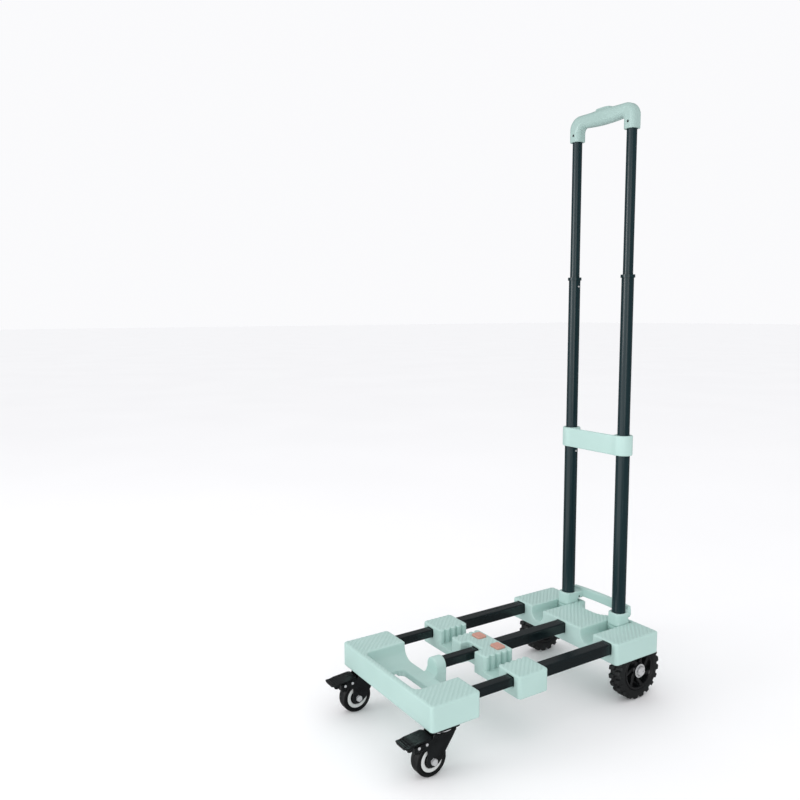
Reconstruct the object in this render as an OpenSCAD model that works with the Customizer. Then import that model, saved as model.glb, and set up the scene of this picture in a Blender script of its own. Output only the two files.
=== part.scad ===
// Folding platform cart with a telescopic push handle.
// Front is -Y, the handle stands at +Y, up is +Z. Millimetres.
// Lengths along Y are laid out from the rear face of the front block's pads.

/* [Platform] */
// Width of the platform across its pads
platform_w = 253; // [244:1:305]
// Height of the pad tops above the floor
platform_top = 110; // [110:1:130]
// Front to back length of the front block
front_block_l = 85; // [80:1:110]
// Height of the front block's side walls
front_block_h = 39; // [38:1:44]
// Open stretch of rail between the front block and the mid support
front_gap = 72; // [70:1:110]
// Front to back length of the mid support
mid_l = 58; // [52:1:80]
// Height of the mid support
mid_h = 36; // [34:1:40]
// Open stretch of rail between the mid support and the rear block
rear_gap = 147; // [100:1:200]
// Front to back length of the rear block
rear_block_l = 101; // [98:1:120]
// Height of the rear block
rear_block_h = 37; // [34:1:40]
// Radius of the blocks' upright corners
corner_r = 6; // [2:0.5:9]
// Distance from the centre line to the inner edge of a front pad
front_pad_inner = 73; // [66:1:76]
// Height of the front carry opening's floor above the block's underside
trough_floor = 11; // [8:1:14]
// Radius where the carry opening's floor sweeps up into the pads
trough_r = 22; // [10:1:24]

/* [Rails] */
// Distance from the centre line to an outer rail's axis
rail_x = 104; // [102:1:108]
// Height of the rail axes below the pad tops
rail_drop = 13; // [12:0.5:15]
// Width of a front rail
rail_w = 16; // [12:0.5:19.5]
// Height of a front rail
rail_h = 14; // [10:0.5:15]
// Wall of a rail tube
rail_wall = 1.3; // [1:0.1:2]
// Clearance between a front rail and the rear rail around it
rail_gap = 0.7; // [0.5:0.1:0.9]
// How far the front section slides in
front_travel = 65; // [20:1:66]

/* [Handle] */
// Distance from the centre line to a handle tube's axis
tube_x = 60; // [56:1:64]
// Outer diameter of the lower tubes
tube_d = 23; // [19:0.5:24]
// Wall of the handle tubes
tube_wall = 1.2; // [1:0.1:1.6]
// Radial clearance between the lower and the middle tubes
tube_gap = 0.3; // [0.2:0.05:0.5]
// Top of the lower tubes above the floor
lower_top = 433; // [380:1:500]
// Top of the middle tubes above the floor
middle_top = 702; // [640:1:760]
// Bottom of the grip's sockets above the floor
grip_bottom = 935; // [860:1:1000]
// Travel of the middle tubes into the lower ones
middle_travel = 248; // [180:1:249]
// Travel of the upper tubes into the middle ones
upper_travel = 228; // [150:1:229]
// Height of the collar bracket around the lower tubes
bracket_h = 34; // [24:1:40]
// Diameter of the hinge pins
hinge_pin_d = 8; // [6:0.5:9]
// Width of the channels that take the handle tubes
channel_w = 28; // [28:0.5:32]

/* [Wheels] */
// Diameter of a rear wheel
rear_wheel_d = 98; // [80:1:100]
// Width of a rear tyre
rear_tyre_w = 25; // [20:0.5:25.5]
// Diameter of a rear axle bolt
rear_axle_d = 8; // [6:0.5:10]
// Number of tread lugs on a rear tyre
lug_count = 20; // [12:2:24]
// Diameter of a caster wheel
caster_d = 50; // [44:1:50]
// Width of a caster tyre
caster_w = 18; // [14:0.5:20]
// Distance from the swivel axis to the caster axle
caster_trail = 22; // [16:0.5:24]
// Diameter of a caster axle
caster_axle_d = 6; // [5:0.5:7]

/* [Hidden] */
$fn = 48;
seat = 0.1;
run = 0.05;

// Stations along Y
y_front = -front_block_l;
y_mid0 = front_gap;
y_mid1 = y_mid0 + mid_l;
y_rear0 = y_mid1 + rear_gap;
y_rear1 = y_rear0 + rear_block_l;
handle_y = y_rear1 - 24;
rear_axle_y = y_rear1 - 40;

// Heights
front_bottom = platform_top - front_block_h;
mid_bottom = platform_top - mid_h;
rear_bottom = platform_top - rear_block_h;
rail_z = platform_top - rail_drop;
hinge_z = platform_top - 10;
half_w = platform_w / 2;
side = [-1, 1];

// Rear rails fit around the front rails
rear_rail_w = rail_w + 2 * (rail_gap + rail_wall);
rear_rail_h = rail_h + 2 * (rail_gap + rail_wall);
front_rail_end = y_mid1 + 20;
side_rail_start = y_front + 25;
boss_r = 13.5;
boss_front = 3;
boss_rear = 21.5;
boss_z = platform_top - 1 - boss_r;
centre_rail_start = boss_front + 3;
notch_w = 36;
notch_l = 16;
mid_face = 3;

// Carry opening in the front block
front_wall = 10;
slot_x = 40;
slot_y0 = y_front + front_wall + 6;
slot_y1 = -28;
slot_r = 8;

// Channels for the handle tubes
channel_floor = platform_top - 25;
flutes = 5;
flute_r = 4;
flute_cut = 2;
pad_inner = tube_x + channel_w / 2;
centre_pad = tube_x - channel_w / 2;
knuckle_r = 13;
socket_x = 13.5;
socket_y = 14.7;
socket_r = 8;
socket_top = platform_top + 17;
well_front = handle_y - 32;
well_rear = handle_y + 18;
recess_r = 28;
recess_x = 8;

// Crossbar behind the sockets
bar_y = handle_y + 24;
bar_t = 9;
bar_bottom = platform_top + 7;
flange_gap = 3;         // clear height between the deck and the sockets' rear flanges
bar_top = platform_top + 23;

// Handle tubes
tube_r = tube_d / 2;
middle_r = tube_r - tube_wall - tube_gap;
upper_gap = 0.55;
upper_r = middle_r - tube_wall - upper_gap;
tube_foot = hinge_z + 8;
screw_x = tube_x - socket_x + 1;
screw_y = handle_y + 15;
screw_z = bar_bottom;
screw_r = 1.6;
middle_foot = lower_top - 45;
upper_foot = middle_top - 47;
upper_top = grip_bottom + 15;
glide_h = 8;
glide_proud = 0.2;
plug_h = 8;
collar_h = 5;
collar_proud = 1.7;
bracket_top = lower_top + 2;
bracket_r = tube_r + 4;
plate_t = 4;
rivet_r = 1.55;
rivet_drop = 41;
middle_rivet_drop = 16;
rod_r = 2.5;

// Grip
grip_w = 11.75;
grip_y = 11;
grip_top = grip_bottom + 43;
grip_arch = grip_bottom + 18;
grip_corner = 22;
cavity_floor = grip_arch + 3.5;
bar_z = cavity_floor + 4.5;
bar_h = 4;
cavity_top = bar_z + bar_h + 1.5;
button_x = 16;
button_y = 6;
button_top = grip_top + 2.5;
button_foot = grip_top - 3;
button_travel = 2.5;

// Release buttons on the mid support
key_x = 24;
key_y = y_mid1 - 15;
key_w = 20;
key_l = 17;
key_top = platform_top + 1.5;
key_h = 8;
key_floor = platform_top - 16;
key_gap = 0.3;

// Rear wheels
rear_r = rear_wheel_d / 2;
rear_axle_z = rear_r;
tyre_x1 = half_w - 4;
tyre_x0 = tyre_x1 - rear_tyre_w;
well_gap = 4;
lug_x0 = 80;
lug_x1 = 93;
axle_r = rear_axle_d / 2;
lug_r = 12;
tread_h = 4;
rim_r = 33;
hub_r = 12;

// Casters
caster_x = rail_x + 1;
swivel_y = y_front + 31;
caster_axle_y = swivel_y - caster_trail;
caster_axle_z = caster_d / 2;
plate_h = 2.5;
plate_half = 20;
plate_bolt = 15;
race_top = front_bottom - plate_h;
crown_top = race_top - 5.5;
crown_t = 4;
fork_gap = 1.2;
fork_t = 2.2;
fork_in = caster_w / 2 + fork_gap;
fork_out = fork_in + fork_t;
kingpin_r = 4;
pedal_w = 28;
pedal_t = 2.4;
pedal_top = crown_top - 1.5;
pin_z = caster_axle_z + 28;
pin_y = caster_axle_y - 11;
pin2_z = pin_z - 1.5;
pin2_y = caster_axle_y - 24;
pin_r = 1.6;
pin_head = 0.5;

// The origin is under the middle of the whole cart
pedal_tip = caster_axle_y - 48;
y_centre = (pedal_tip + rear_axle_y + rear_r) / 2;

mint = [0.75, 0.87, 0.82];
black = [0.08, 0.09, 0.09];
steel = [0.72, 0.73, 0.74];
orange = [0.91, 0.55, 0.44];

// ---- Shared shapes ----

// Plan rectangle with rounded corners
module rounded_rect(x0, x1, y0, y1, r) {
    for (x = [x0 + r, x1 - r], y = [y0 + r, y1 - r])
        translate([x, y]) circle(r);
    translate([x0 + r, y0]) square([x1 - x0 - 2 * r, y1 - y0]);
    translate([x0, y0 + r]) square([x1 - x0, y1 - y0 - 2 * r]);
}

// Slab with rounded upright corners
module slab(x0, x1, y0, y1, z0, z1, r = corner_r) {
    translate([0, 0, z0]) linear_extrude(z1 - z0) rounded_rect(x0, x1, y0, y1, r);
}

// Plain box from its two corners
module block(x0, x1, y0, y1, z0, z1) {
    translate([x0, y0, z0]) cube([x1 - x0, y1 - y0, z1 - z0]);
}

// Cylinder along X from x0 to x1
module rod_x(x0, x1, y, z, r) {
    translate([x0, y, z]) rotate([0, 90, 0]) cylinder(h = x1 - x0, r = r);
}

// Cylinder along Y from y0 to y1
module rod_y(x, y0, y1, z, r) {
    translate([x, y0, z]) rotate([-90, 0, 0]) cylinder(h = y1 - y0, r = r);
}

// Upright cylinder from z0 to z1
module rod_z(x, y, z0, z1, r) {
    translate([x, y, z0]) cylinder(h = z1 - z0, r = r);
}

// Bar of rectangular section along Y at a rail's place
module rail_bar(x, y0, y1, w, h) {
    block(x - w / 2, x + w / 2, y0, y1, rail_z - h / 2, rail_z + h / 2);
}

// Hollow rail, open at both ends, with softly rounded edges
module rail_tube(x, y0, y1, w, h) {
    r = 2;
    translate([x, y1, rail_z]) rotate([90, 0, 0]) linear_extrude(y1 - y0)
        difference() {
            rounded_rect(-w / 2, w / 2, -h / 2, h / 2, r);
            square([w - 2 * rail_wall, h - 2 * rail_wall], center = true);
        }
}

// Upright round tube
module tube_z(x, z0, z1, r) {
    difference() {
        rod_z(x, handle_y, z0, z1, r);
        rod_z(x, handle_y, z0 - 1, z1 + 1, r - tube_wall);
    }
}

// Screw driven upward from the face at z
module screw_up(x, y, z, depth, head_r = 3.6, r = 2) {
    rod_z(x, y, z - 2, z, head_r);
    rod_z(x, y, z, z + depth - 1, r);
}

// Hole for such a screw
module screw_hole(x, y, z, depth, r = 2) {
    rod_z(x, y, z - 1, z + depth, r + run);
}

// Coil spring of round wire standing at x, y: rings of points carried along a helix
module spring(x, y, z, h, r, turns, wire = 0.6) {
    sides = 8;
    per_turn = 12;
    rings = per_turn * turns;
    points = [
        for (i = [0:rings], j = [0:sides - 1])
            let (a = i * 360 / per_turn, b = j * 360 / sides, q = r + wire * cos(b))
            [q * cos(a), q * sin(a), wire + (h - 2 * wire) * i / rings + wire * sin(b)]
    ];
    walls = [
        for (i = [0:rings - 1], j = [0:sides - 1])
            let (k = (j + 1) % sides, low = i * sides, high = low + sides)
            [low + j, high + j, high + k, low + k]
    ];
    foot = [for (j = [0:sides - 1]) j];
    head = [for (j = [0:sides - 1]) (rings + 1) * sides - 1 - j];
    translate([x, y, z]) polyhedron(points, concat(walls, [foot, head]));
}

// ---- Front section ----

front_screw_y = -12;
boss_screw_y = boss_rear - 8;
rail_screw_depth = rail_z - rail_h / 2 - front_bottom;
plate_screw_depth = 14;

module trough_section() {
    z0 = front_bottom + trough_floor;
    xr = front_pad_inner - trough_r;
    translate([-xr, z0]) square([2 * xr, 60]);
    translate([-front_pad_inner, z0 + trough_r]) square([2 * front_pad_inner, 60]);
    for (s = side) translate([s * xr, z0 + trough_r]) circle(trough_r);
}

// Side view of the boss, with its sweep up from the strip behind the slot
module boss_outline() {
    floor_z = front_bottom + trough_floor;
    polygon([
        [boss_front - 19, front_bottom], [boss_front - 19, floor_z - 0.5],
        [boss_front - 11, floor_z + 1.5], [boss_front - 4, floor_z + 7],
        [boss_front, floor_z + 13.5], [boss_rear, floor_z + 13.5], [boss_rear, front_bottom]
    ]);
}

module front_block() color(mint) difference() {
    union() {
        difference() {
            slab(-half_w, half_w, y_front, 0, front_bottom, platform_top);
            translate([0, 1, 0]) rotate([90, 0, 0])
                linear_extrude(1 - y_front - front_wall) trough_section();
        }
        rod_y(0, boss_front, boss_rear, boss_z, boss_r);
        side_plate(-boss_r, boss_r) boss_outline();
    }
    slab(-slot_x, slot_x, slot_y0, slot_y1, front_bottom - 1, platform_top, slot_r);
    for (s = side)
        rail_bar(s * rail_x, side_rail_start, 1, rail_w + 2 * seat, rail_h + 2 * seat);
    rail_bar(0, centre_rail_start, boss_rear + 1, rail_w + 2 * seat, rail_h + 2 * seat);
    for (x = [-rail_x, 0, rail_x])
        screw_hole(x, x == 0 ? boss_screw_y : front_screw_y, front_bottom, rail_screw_depth + seat);
    for (s = side, dx = side, dy = side)
        screw_hole(s * caster_x + dx * plate_bolt, swivel_y + dy * plate_bolt,
                   front_bottom, plate_screw_depth);
}

module front_rail(x) color(black)
    rail_tube(x, x == 0 ? centre_rail_start : side_rail_start, front_rail_end, rail_w, rail_h);

module front_block_screws() color(steel) {
    for (x = [-rail_x, 0, rail_x])
        screw_up(x, x == 0 ? boss_screw_y : front_screw_y, front_bottom, rail_screw_depth);
    for (s = side, dx = side, dy = side)
        translate([0, 0, -plate_h])
            screw_up(s * caster_x + dx * plate_bolt, swivel_y + dy * plate_bolt,
                     front_bottom, plate_screw_depth, head_r = 3);
}

// ---- Mid support ----

mid_screw_y = y_mid1 - 14;
mid_screw_depth = rail_z - rear_rail_h / 2 - mid_bottom;

// Row of upright flutes cut into a channel wall at x
module flute_row(x) {
    pitch = mid_l / flutes;
    for (i = [0:flutes - 1])
        rod_z(x, y_mid0 + pitch * (i + 0.5), channel_floor, platform_top + 1, flute_r);
}

module mid_support() color(mint) difference() {
    slab(-half_w + 1, half_w - 1, y_mid0, y_mid1, mid_bottom, platform_top);
    for (s = side) {
        block(s * tube_x - channel_w / 2, s * tube_x + channel_w / 2,
              y_mid0 - 1, y_mid1 + 1, channel_floor, platform_top + 1);
        flute_row(s * (centre_pad + flute_r - flute_cut));
        flute_row(s * (pad_inner - flute_r + flute_cut));
        rail_bar(s * rail_x, y_mid0 - 1, y_mid0 + mid_face + 1, rail_w + 1, rail_h + 1);
        rail_bar(s * rail_x, y_mid0 + mid_face, y_mid1 + 1,
                 rear_rail_w + 2 * seat, rear_rail_h + 2 * seat);
        slab(s * key_x - key_w / 2 - key_gap, s * key_x + key_w / 2 + key_gap,
             key_y - key_l / 2 - key_gap, key_y + key_l / 2 + key_gap,
             key_floor, platform_top + 1, 3);
    }
    block(-notch_w / 2, notch_w / 2, y_mid0 - 1, y_mid0 + notch_l, mid_bottom - 1, platform_top + 1);
    rail_bar(0, y_mid0, y_mid0 + notch_l + mid_face + 1, rail_w + 1, rail_h + 1);
    rail_bar(0, y_mid0 + notch_l + mid_face, y_mid1 + 1,
             rear_rail_w + 2 * seat, rear_rail_h + 2 * seat);
    for (x = [-rail_x, 0, rail_x])
        screw_hole(x, mid_screw_y, mid_bottom, mid_screw_depth + seat);
}

module release_button(s) color(orange)
    slab(s * key_x - key_w / 2, s * key_x + key_w / 2,
         key_y - key_l / 2, key_y + key_l / 2, key_top - key_h, key_top, 3);

module release_spring(s) color(steel)
    spring(s * key_x, key_y, key_floor, key_top - key_h - key_floor, 5, 4);

// ---- Rear block ----

rear_screw_y = y_rear0 + 7;
rear_screw_depth = rail_z - rear_rail_h / 2 - rear_bottom;
side_rail_end = y_rear0 + 20;
centre_rail_end = y_rear1 - recess_r - 6;
pin_x0 = centre_pad - 6;
pin_x1 = pad_inner + 6;

// Trough for one handle tube: round floored in front, square round the knuckle
module tube_trough(s) {
    rod_y(s * tube_x, y_rear0 - 1, well_front + 1, hinge_z, channel_w / 2);
    block(s * tube_x - channel_w / 2, s * tube_x + channel_w / 2,
          y_rear0 - 1, well_front + 1, hinge_z, platform_top + 1);
    block(s * tube_x - channel_w / 2, s * tube_x + channel_w / 2,
          well_front, well_rear, hinge_z - socket_y - 1, platform_top + 1);
}

// Hand recess between the sockets, open to the rear
module hand_recess() {
    translate([0, 0, rear_bottom - 1]) linear_extrude(rear_block_h + 2) {
        for (s = side) translate([s * recess_x, y_rear1]) circle(recess_r);
        translate([-recess_x, y_rear1 - recess_r]) square([2 * recess_x, recess_r + 1]);
    }
}

// Hanging lug that carries a rear axle bolt
module axle_lug(s) {
    x0 = s > 0 ? lug_x0 : -lug_x1;
    block(x0, x0 + lug_x1 - lug_x0, rear_axle_y - lug_r, rear_axle_y + lug_r,
          rear_axle_z, rear_bottom + 1);
    rod_x(x0, x0 + lug_x1 - lug_x0, rear_axle_y, rear_axle_z, lug_r);
}

module wheel_well(s) {
    x0 = s > 0 ? lug_x1 + 2 : -half_w + 2.5;
    rod_x(x0, x0 + half_w - 2.5 - lug_x1 - 2, rear_axle_y, rear_axle_z, rear_r + well_gap);
}

module rear_block() color(mint) difference() {
    union() {
        difference() {
            slab(-half_w, half_w, y_rear0, y_rear1, rear_bottom, platform_top);
            for (s = side) wheel_well(s);
        }
        for (s = side) axle_lug(s);
    }
    for (s = side) {
        tube_trough(s);
        rail_bar(s * rail_x, y_rear0 - 1, side_rail_end, rear_rail_w + 2 * seat, rear_rail_h + 2 * seat);
        rod_x(s * (pin_x0 + pin_x1) / 2 - (pin_x1 - pin_x0) / 2 - run,
              s * (pin_x0 + pin_x1) / 2 + (pin_x1 - pin_x0) / 2 + run,
              handle_y, hinge_z, hinge_pin_d / 2 + run);
        rod_x(s * (lug_x0 + lug_x1) / 2 - 10, s * (lug_x0 + lug_x1) / 2 + 10,
              rear_axle_y, rear_axle_z, axle_r + run);
    }
    rail_bar(0, y_rear0 - 1, centre_rail_end, rear_rail_w + 2 * seat, rear_rail_h + 2 * seat);
    hand_recess();
    for (x = [-rail_x, 0, rail_x])
        screw_hole(x, rear_screw_y, rear_bottom, rear_screw_depth + seat);
}

module rear_rail(x) color(black)
    rail_tube(x, x == 0 ? y_mid0 + notch_l + mid_face : y_mid0 + mid_face,
              x == 0 ? centre_rail_end : side_rail_end, rear_rail_w, rear_rail_h);

module rail_screws() color(steel) for (x = [-rail_x, 0, rail_x]) {
    screw_up(x, mid_screw_y, mid_bottom, mid_screw_depth);
    screw_up(x, rear_screw_y, rear_bottom, rear_screw_depth);
}

module hinge_pins() color(steel) for (s = side)
    rod_x(s * (pin_x0 + pin_x1) / 2 - (pin_x1 - pin_x0) / 2,
          s * (pin_x0 + pin_x1) / 2 + (pin_x1 - pin_x0) / 2,
          handle_y, hinge_z, hinge_pin_d / 2);

// ---- Rear wheels ----

// Shape made for the right side, at its place on either side
module on_side(s) {
    if (s > 0) children();
    else mirror([1, 0, 0]) children();
}

module rear_tyre(s) color(black) on_side(s) difference() {
    union() {
        rod_x(tyre_x0, tyre_x1, rear_axle_y, rear_axle_z, rear_r - tread_h);
        for (i = [0:lug_count - 1])
            translate([0, rear_axle_y, rear_axle_z]) rotate([i * 360 / lug_count, 0, 0])
                block(tyre_x0, tyre_x1, rear_r - tread_h - 3, rear_r, -4, 4);
    }
    rod_x(tyre_x0 - 1, tyre_x1 + 1, rear_axle_y, rear_axle_z, rim_r);
}

module rear_hub(s) color(black) on_side(s) difference() {
    union() {
        difference() {
            rod_x(tyre_x0 + 1, tyre_x1 - 1, rear_axle_y, rear_axle_z, rim_r);
            rod_x(tyre_x0, tyre_x1, rear_axle_y, rear_axle_z, rim_r - 4);
        }
        rod_x(lug_x1 + 0.5, tyre_x1 - 0.3, rear_axle_y, rear_axle_z, hub_r);
        for (i = [0:6])
            translate([0, rear_axle_y, rear_axle_z]) rotate([i * 360 / 7, 0, 0])
                block(tyre_x0 + 5, tyre_x1 - 4, 8, rim_r - 2, -2, 2);
    }
    rod_x(lug_x1 - 1, tyre_x1 + 1, rear_axle_y, rear_axle_z, axle_r + run);
}

module rear_axle_bolts() color(steel) for (s = side) on_side(s) {
    rod_x(lug_x0 - 6, tyre_x1, rear_axle_y, rear_axle_z, axle_r);
    rod_x(tyre_x1, tyre_x1 + 1.2, rear_axle_y, rear_axle_z, axle_r + 7.5);
    rod_x(tyre_x1 + 1.2, tyre_x1 + 5, rear_axle_y, rear_axle_z, axle_r + 4);
}

module rear_axle_nuts() color(steel) for (s = side) on_side(s) difference() {
    translate([lug_x0 - 5, rear_axle_y, rear_axle_z]) rotate([0, 90, 0])
        cylinder(h = 5, r = axle_r + 3.5, $fn = 6);
    rod_x(lug_x0 - 6, lug_x0 + 1, rear_axle_y, rear_axle_z, axle_r + run);
}

// ---- Handle ----

module yoke() color(mint) difference() {
    union() {
        for (s = side) {
            slab(s * tube_x - socket_x, s * tube_x + socket_x, handle_y - socket_y,
                 handle_y + socket_y, hinge_z + 6, socket_top, socket_r);
            block(s * tube_x - socket_x + 0.5, s * tube_x + socket_x - 0.5,
                  handle_y - knuckle_r, handle_y + knuckle_r, hinge_z, hinge_z + 8);
            rod_x(s * tube_x - socket_x + 0.5, s * tube_x + socket_x - 0.5,
                  handle_y, hinge_z, knuckle_r);
            slab(s * tube_x - socket_x, s * tube_x + socket_x, handle_y + 4, bar_y + bar_t / 2,
                 platform_top + flange_gap, socket_top, 4);
        }
        slab(-tube_x - socket_x, tube_x + socket_x, bar_y - bar_t / 2, bar_y + bar_t / 2,
             bar_bottom, bar_top, 4);
    }
    for (s = side) {
        rod_z(s * tube_x, handle_y, tube_foot, bar_top + 1, tube_r + seat);
        rod_x(s * tube_x - 20, s * tube_x + 20, handle_y, hinge_z, hinge_pin_d / 2 + run);
        rod_x(s * (tube_x - socket_x) - 4, s * (tube_x - socket_x) + 4,
              screw_y, screw_z, screw_r + run);
    }
}

module yoke_screws() color(black) for (s = side)
    rod_x(s * screw_x - 0.9, s * screw_x + 0.9, screw_y, screw_z, screw_r);

module lower_tube(s) color(black) difference() {
    tube_z(s * tube_x, tube_foot, lower_top, tube_r);
    rod_x(s * (tube_x - tube_r) - 2, s * (tube_x - tube_r) + 2,
          handle_y, lower_top - rivet_drop, rivet_r + run);
}

// Small guide rivets through the inner side of a pair of tubes
module rivets(z, r) {
    for (s = side) {
        inner = s * (tube_x - r);
        rod_x(min(inner + s * 1.1, inner - s * 0.8), max(inner + s * 1.1, inner - s * 0.8),
              handle_y, z, rivet_r);
    }
}

module lower_tube_rivets() color(steel) rivets(lower_top - rivet_drop, tube_r);

module collar_bracket() color(mint) difference() {
    translate([0, handle_y, bracket_top - bracket_h]) linear_extrude(bracket_h) {
        for (s = side) translate([s * tube_x, 0]) circle(bracket_r);
        translate([-tube_x, -bracket_r]) square([2 * tube_x, plate_t]);
    }
    for (s = side) {
        rod_z(s * tube_x, handle_y, bracket_top - bracket_h - 1, lower_top, tube_r + seat);
        rod_z(s * tube_x, handle_y, lower_top - 1, bracket_top + 1, middle_r + tube_gap);
    }
}

module middle_tube(s) color(black) difference() {
    tube_z(s * tube_x, middle_foot, middle_top - 1, middle_r);
    rod_x(s * (tube_x - middle_r) - 2, s * (tube_x - middle_r) + 2,
          handle_y, middle_top - middle_rivet_drop, rivet_r + run);
}

module middle_tube_rivets() color(steel) rivets(middle_top - middle_rivet_drop, middle_r);

// Plastic end plug and running glide at the foot of an inner tube
module glides(z, r) {
    for (s = side) {
        rod_z(s * tube_x, handle_y, z - glide_h, z, r + glide_proud);
        rod_z(s * tube_x, handle_y, z, z + plug_h, r - tube_wall - run);
    }
}

module middle_tube_glides() color(black) glides(middle_foot, middle_r);

module middle_tube_collars() color(black) for (s = side) difference() {
    rod_z(s * tube_x, handle_y, middle_top - collar_h, middle_top, middle_r + collar_proud);
    rod_z(s * tube_x, handle_y, middle_top - collar_h - 1, middle_top - 1, middle_r + run);
    rod_z(s * tube_x, handle_y, middle_top - 2, middle_top + 1, upper_r + 0.3);
}

module upper_tube(s) color(black)
    tube_z(s * tube_x, upper_foot, upper_top, upper_r);

module upper_tube_glides() color(black) glides(upper_foot, upper_r);

// ---- Grip ----

module grip_outline() {
    x1 = tube_x + grip_w;
    xc = x1 - grip_corner;
    zc = grip_top - grip_corner;
    translate([-x1, grip_bottom]) square([2 * x1, zc - grip_bottom]);
    translate([-xc, zc]) square([2 * xc, grip_corner]);
    for (s = side) translate([s * xc, zc]) circle(grip_corner);
}

module grip_window() {
    x0 = tube_x - grip_w;
    translate([-x0, grip_bottom - 1]) square([2 * x0, grip_arch - grip_bottom - 5]);
    translate([-x0 + 6, grip_bottom - 1]) square([2 * x0 - 12, grip_arch - grip_bottom + 1]);
    for (s = side) translate([s * (x0 - 6), grip_arch - 6]) circle(6);
}

module grip() color(mint) difference() {
    translate([0, handle_y + grip_y, 0]) rotate([90, 0, 0]) linear_extrude(2 * grip_y)
        difference() {
            grip_outline();
            grip_window();
        }
    for (s = side) {
        rod_z(s * tube_x, handle_y, grip_bottom - 1, upper_top, upper_r + seat);
        rod_z(s * tube_x, handle_y, upper_top - 1, cavity_floor + 1, rod_r + 1);
        rod_y(s * tube_x, handle_y - grip_y - 1, handle_y - upper_r, grip_bottom + 10, 2 + run);
    }
    block(-tube_x - 5, tube_x + 5, handle_y - 5, handle_y + 5, cavity_floor, cavity_top);
    block(-button_x + 2, button_x - 2, handle_y - 5, handle_y + 5, cavity_top - 1, grip_top + 1);
    block(-button_x - 0.4, button_x + 0.4, handle_y - button_y - 0.4, handle_y + button_y + 0.4,
          button_foot - button_travel - 1, grip_top + 1);
}

module grip_button() color(mint) {
    slab(-button_x, button_x, handle_y - button_y, handle_y + button_y,
         button_foot, button_top, 4);
    block(-button_x + 3, button_x - 3, handle_y - 4, handle_y + 4, bar_z + bar_h, button_foot);
    block(-tube_x - 3.5, tube_x + 3.5, handle_y - 4, handle_y + 4, bar_z, bar_z + bar_h);
}

module grip_spring() color(steel)
    spring(0, handle_y, cavity_floor, bar_z - cavity_floor, 3.2, 2);

module release_rods() color(steel) for (s = side)
    rod_z(s * tube_x, handle_y, upper_foot + plug_h + 5, bar_z, rod_r);

module grip_screws() color(black) for (s = side)
    rod_y(s * tube_x, handle_y - grip_y + 0.6, handle_y - upper_r - 3 * seat, grip_bottom + 10, 2);

// ---- Casters ----

module at_caster(s) {
    translate([s * caster_x, 0, 0]) children();
}

module caster_plate(s) color(black) at_caster(s) difference() {
    slab(-plate_half, plate_half, swivel_y - plate_half, swivel_y + plate_half,
         race_top, front_bottom, 5);
    rod_z(0, swivel_y, race_top - 1, front_bottom + 1, kingpin_r + run);
    for (dx = side, dy = side)
        rod_z(dx * plate_bolt, swivel_y + dy * plate_bolt, race_top - 1, front_bottom + 1, 2.1);
}

// Bearing ring between the plate and the fork's crown
module caster_race(s) color(steel) at_caster(s) difference() {
    rod_z(0, swivel_y, crown_top + 0.3, race_top, 15);
    rod_z(0, swivel_y, crown_top - 1, race_top + 1, kingpin_r + run);
}

module caster_kingpin(s) color(steel) at_caster(s) {
    rod_z(0, swivel_y, crown_top - crown_t - 2, front_bottom, kingpin_r);
    rod_z(0, swivel_y, crown_top - crown_t - 2.5, crown_top - crown_t - 0.3, kingpin_r + 3);
}

// Side view of a fork leg
module leg_outline() {
    polygon([
        [swivel_y + 17, crown_top], [swivel_y + 14, crown_top - 8],
        [caster_axle_y + 20, caster_axle_z + 8], [caster_axle_y + 15, caster_axle_z - 1],
        [caster_axle_y + 9, caster_axle_z - 5], [caster_axle_y - 9, caster_axle_z],
        [caster_axle_y - 9, caster_axle_z + 17], [caster_axle_y - 16, caster_axle_z + 20],
        [caster_axle_y - 31, pin_z - 6.5], [caster_axle_y - 31, pedal_top - 8.2],
        [caster_axle_y - 1, pedal_top - 3.2], [caster_axle_y + 2, crown_top]
    ]);
    translate([caster_axle_y, caster_axle_z]) circle(9.3);
}

// Extrusion along X of an outline drawn in Y and Z
module side_plate(x0, x1) {
    translate([x0, 0, 0]) rotate([90, 0, 90]) linear_extrude(x1 - x0) children();
}

module caster_fork(s) color(black) at_caster(s) difference() {
    union() {
        side_plate(-fork_out, -fork_in) leg_outline();
        side_plate(fork_in, fork_out) leg_outline();
        slab(-fork_out, fork_out, caster_axle_y + 2, swivel_y + 17,
             crown_top - crown_t, crown_top, 0.5);
    }
    rod_z(0, swivel_y, crown_top - crown_t - 1, crown_top + 1, kingpin_r + run);
    rod_x(-fork_out - 1, fork_out + 1, caster_axle_y, caster_axle_z, caster_axle_d / 2 + run);
    rod_x(-fork_out - 1, fork_out + 1, pin_y, pin_z, pin_r + run);
    rod_x(-fork_out - 1, fork_out + 1, pin2_y, pin2_z, pin_r + run);
}

module caster_axle(s) color(steel) at_caster(s) {
    rod_x(-fork_out - 3, fork_out + 3, caster_axle_y, caster_axle_z, caster_axle_d / 2);
    for (x = [-fork_out - 4, fork_out + 0.1])
        translate([x, caster_axle_y, caster_axle_z]) rotate([0, 90, 0])
            cylinder(h = 3.9, r = 5, $fn = 6);
}

module caster_tyre(s) color(black) at_caster(s) difference() {
    rod_x(-caster_w / 2, caster_w / 2, caster_axle_y, caster_axle_z, caster_d / 2);
    rod_x(-caster_w / 2 - 1, caster_w / 2 + 1, caster_axle_y, caster_axle_z, caster_d / 2 - 6 + run);
}

module caster_core(s) color([0.85, 0.86, 0.86]) at_caster(s) difference() {
    union() {
        rod_x(-caster_w / 2 + 0.5, caster_w / 2 - 0.5, caster_axle_y, caster_axle_z, caster_d / 2 - 6);
        rod_x(-fork_in + 0.3, fork_in - 0.3, caster_axle_y, caster_axle_z, 6);
    }
    rod_x(-fork_in - 1, fork_in + 1, caster_axle_y, caster_axle_z, caster_axle_d / 2 + run);
}

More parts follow.
